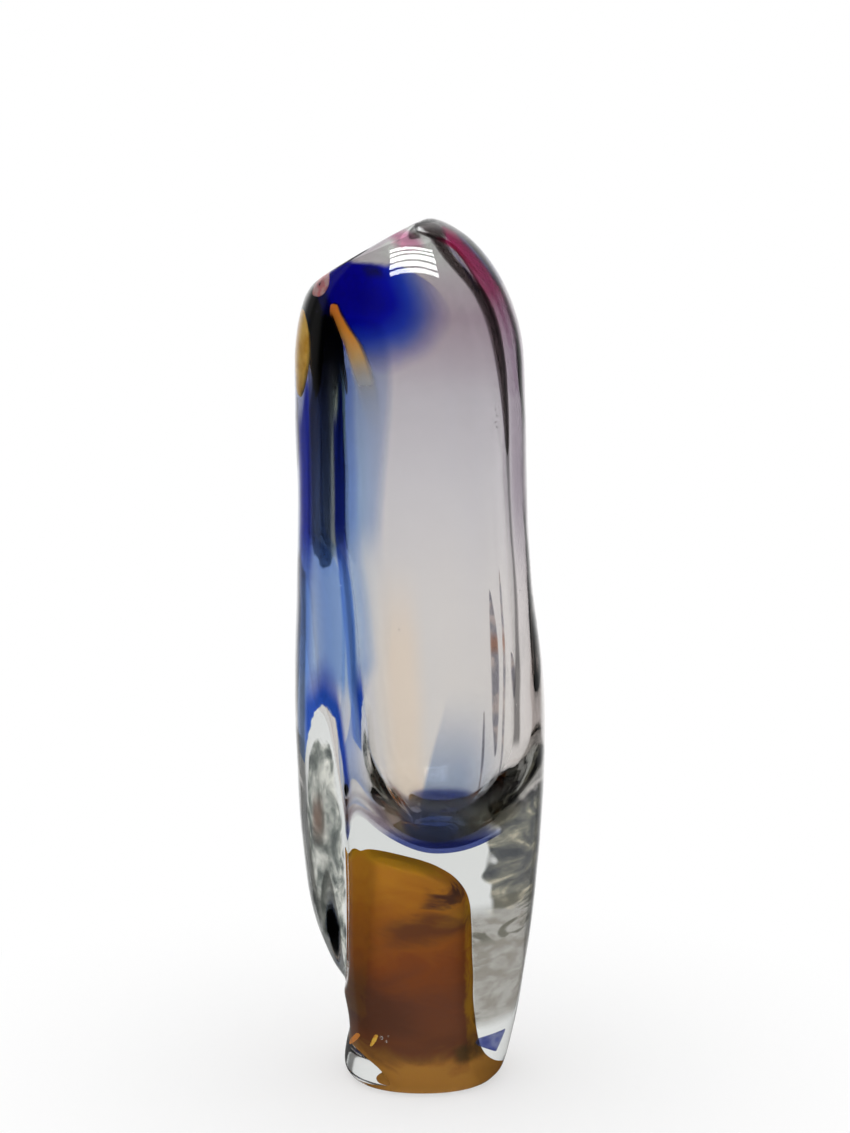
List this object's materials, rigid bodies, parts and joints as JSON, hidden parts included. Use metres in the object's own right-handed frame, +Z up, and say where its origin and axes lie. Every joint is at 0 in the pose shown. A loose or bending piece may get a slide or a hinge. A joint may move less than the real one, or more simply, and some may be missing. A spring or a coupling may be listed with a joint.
{
  "type": "glass vase",
  "caption": "Tall heavy clear glass vase with a slanting mouth, a lilac chamber, blue, dark and ochre bands cased in its wall and an amber block in its solid foot",
  "frame": {"origin": "middle of the ground face under the foot", "axes": "+Z up, +X to the viewer's right in the picture, the viewer looks along +Y"},
  "size_m": [0.0813, 0.0702, 0.2802],
  "materials": {
    "clear_glass": "clear, fire-polished, ground flat under the foot",
    "lilac_glass": "transparent lilac-grey, polished",
    "cobalt_glass": "dense cobalt blue, fading at its edge",
    "dark_glass": "near-black, slate towards its lower end",
    "ochre_glass": "ochre yellow, nearly opaque",
    "salmon_glass": "salmon pink, cloudy",
    "orange_glass": "orange that fades to beige",
    "pale_blue_glass": "pale blue, stronger at its left edge",
    "blue_glass": "transparent blue, deepest at its lower point",
    "crimson_glass": "crimson that fades to mauve",
    "navy_glass": "dark navy with olive streaks",
    "amber_glass": "amber with an ochre rim and brown clouds, nearly opaque",
    "foot_blue_glass": "transparent blue"
  },
  "bodies": {
    "root": {"clear_casing": "clear_glass", "lilac_lining": "lilac_glass", "cobalt_patch": "cobalt_glass", "dark_band": "dark_glass", "ochre_chip": "ochre_glass", "salmon_chip": "salmon_glass", "orange_streak": "orange_glass", "pale_band": "pale_blue_glass", "blue_trail": "blue_glass", "crimson_streak": "crimson_glass", "navy_pool": "navy_glass", "amber_block": "amber_glass", "blue_foot_chip": "foot_blue_glass"}
  },
  "joints": []
}
